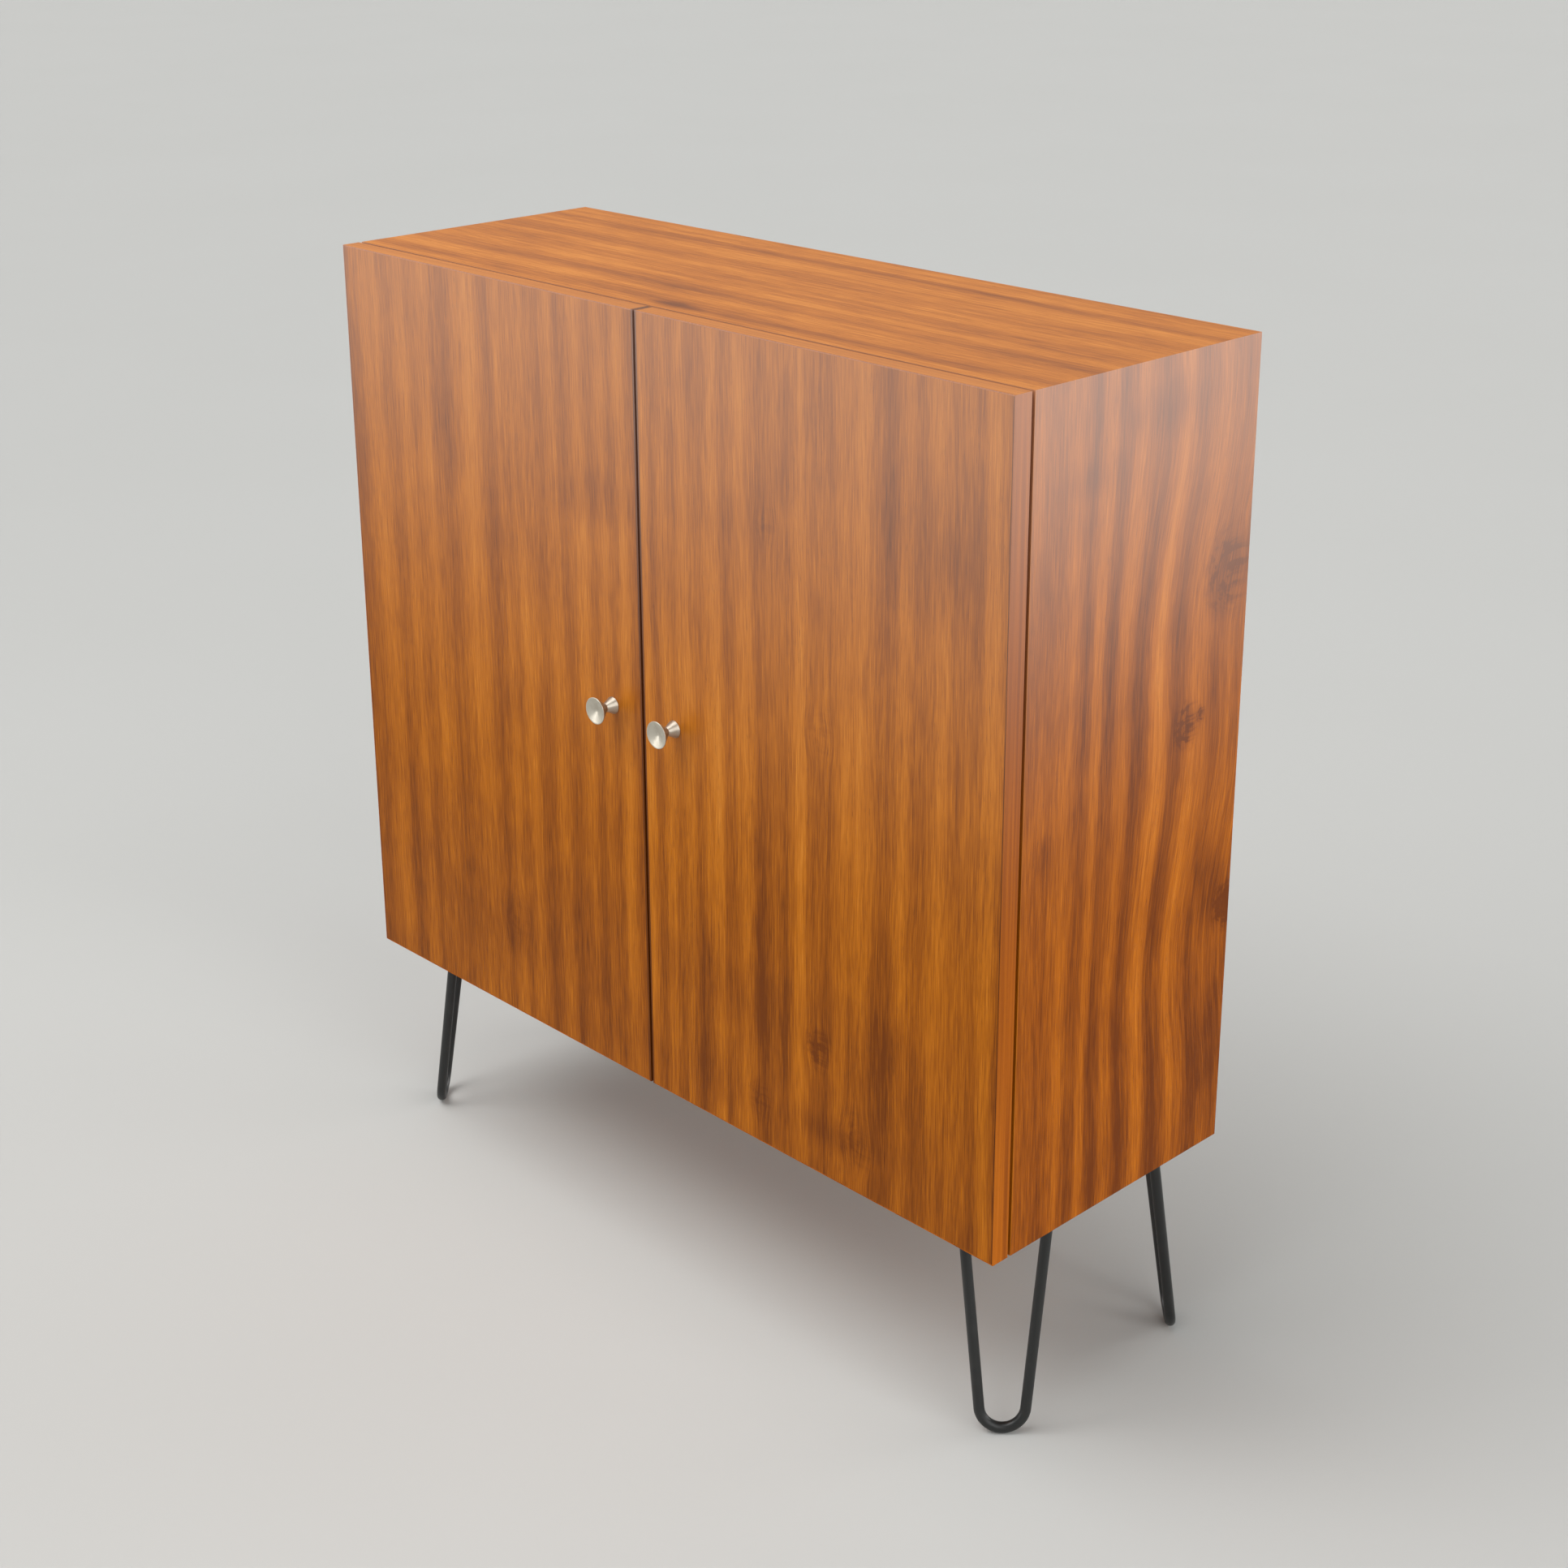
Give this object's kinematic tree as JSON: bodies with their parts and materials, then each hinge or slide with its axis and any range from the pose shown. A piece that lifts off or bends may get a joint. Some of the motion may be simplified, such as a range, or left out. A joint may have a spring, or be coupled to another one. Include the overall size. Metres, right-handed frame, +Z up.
{
  "type": "cabinet",
  "caption": "Veneered cabinet on hairpin legs with hinged overlay doors, turned knobs, concealed cup hinges, magnetic catches and shelves on pins.",
  "frame": {"origin": "on the floor under the middle of the cabinet's bounding box, with both doors closed", "axes": "+X to the right along the front, +Y towards the back, +Z up"},
  "size_m": [0.88, 0.333, 0.965],
  "materials": {
    "leg_paint": "black satin powder coat",
    "leg_plate_paint": "black satin powder coat",
    "back_board": "unfaced board",
    "screw_steel": "zinc-plated steel",
    "carcass_edge_veneer": "veneer under satin lacquer",
    "bottom_veneer": "veneer under satin lacquer",
    "spline_plywood": "raw plywood",
    "catch_plastic": "moulded, fine grain",
    "magnet_iron": "ferrite between plain steel poles",
    "left_door_veneer": "veneer under satin lacquer",
    "door_edge_veneer": "veneer under satin lacquer",
    "hinge_pin_steel": "ground steel",
    "knob_nickel": "satin nickel plate, turned rings",
    "knob_screw_steel": "zinc-plated steel",
    "hinge_arm_steel": "nickel-plated pressed steel",
    "hinge_cup_steel": "nickel-plated pressed steel",
    "hinge_plate_steel": "nickel-plated pressed steel",
    "left_side_veneer": "veneer under satin lacquer",
    "strike_steel": "zinc-plated steel",
    "leg_screw_steel": "blackened steel",
    "shelf_veneer": "veneer under satin lacquer",
    "shelf_pin_steel": "nickel-plated steel",
    "shelf_edge_veneer": "veneer under satin lacquer",
    "right_door_veneer": "veneer under satin lacquer",
    "right_side_veneer": "veneer under satin lacquer",
    "top_veneer": "veneer under satin lacquer"
  },
  "bodies": {
    "carcass": {"back_left_leg": "leg_paint", "back_left_leg_plate": "leg_plate_paint", "back_panel": "back_board", "back_panel_screws": "screw_steel", "back_right_leg": "leg_paint", "back_right_leg_plate": "leg_plate_paint", "bottom_edge_strip": "carcass_edge_veneer", "bottom_panel": "bottom_veneer", "catch_screws": "screw_steel", "corner_splines": "spline_plywood", "front_left_leg": "leg_paint", "front_left_leg_plate": "leg_plate_paint", "front_right_leg": "leg_paint", "front_right_leg_plate": "leg_plate_paint", "hinge_arm_screws": "screw_steel", "hinge_plate_screws": "screw_steel", "left_catch_housing": "catch_plastic", "left_catch_magnet": "magnet_iron", "left_edge_strip": "carcass_edge_veneer", "left_lower_hinge_arm": "hinge_arm_steel", "left_lower_hinge_plate": "hinge_plate_steel", "left_side_panel": "left_side_veneer", "left_upper_hinge_arm": "hinge_arm_steel", "left_upper_hinge_plate": "hinge_plate_steel", "leg_screws": "leg_screw_steel", "lower_shelf": "shelf_veneer", "lower_shelf_pins": "shelf_pin_steel", "lower_shelf_strip": "shelf_edge_veneer", "right_catch_housing": "catch_plastic", "right_catch_magnet": "magnet_iron", "right_edge_strip": "carcass_edge_veneer", "right_lower_hinge_arm": "hinge_arm_steel", "right_lower_hinge_plate": "hinge_plate_steel", "right_side_panel": "right_side_veneer", "right_upper_hinge_arm": "hinge_arm_steel", "right_upper_hinge_plate": "hinge_plate_steel", "top_edge_strip": "carcass_edge_veneer", "top_panel": "top_veneer", "upper_shelf": "shelf_veneer", "upper_shelf_pins": "shelf_pin_steel", "upper_shelf_strip": "shelf_edge_veneer"},
    "left_leaf": {"left_door": "left_door_veneer", "left_door_screws": "screw_steel", "left_door_strips": "door_edge_veneer", "left_hinge_pins": "hinge_pin_steel", "left_knob": "knob_nickel", "left_knob_screw": "knob_screw_steel", "left_lower_hinge_cup": "hinge_cup_steel", "left_strike": "strike_steel", "left_upper_hinge_cup": "hinge_cup_steel"},
    "right_leaf": {"right_door": "right_door_veneer", "right_door_screws": "screw_steel", "right_door_strips": "door_edge_veneer", "right_hinge_pins": "hinge_pin_steel", "right_knob": "knob_nickel", "right_knob_screw": "knob_screw_steel", "right_lower_hinge_cup": "hinge_cup_steel", "right_strike": "strike_steel", "right_upper_hinge_cup": "hinge_cup_steel"}
  },
  "joints": [
    {"name": "left_door_hinge", "type": "hinge", "parent": "carcass", "child": "left_leaf", "pos_m": [-0.432, -0.135, 0.585], "axis": [0, 0, -1], "range_deg": [0, 95]},
    {"name": "right_door_hinge", "type": "hinge", "parent": "carcass", "child": "right_leaf", "pos_m": [0.432, -0.135, 0.585], "axis": [0, 0, 1], "range_deg": [0, 95]}
  ]
}
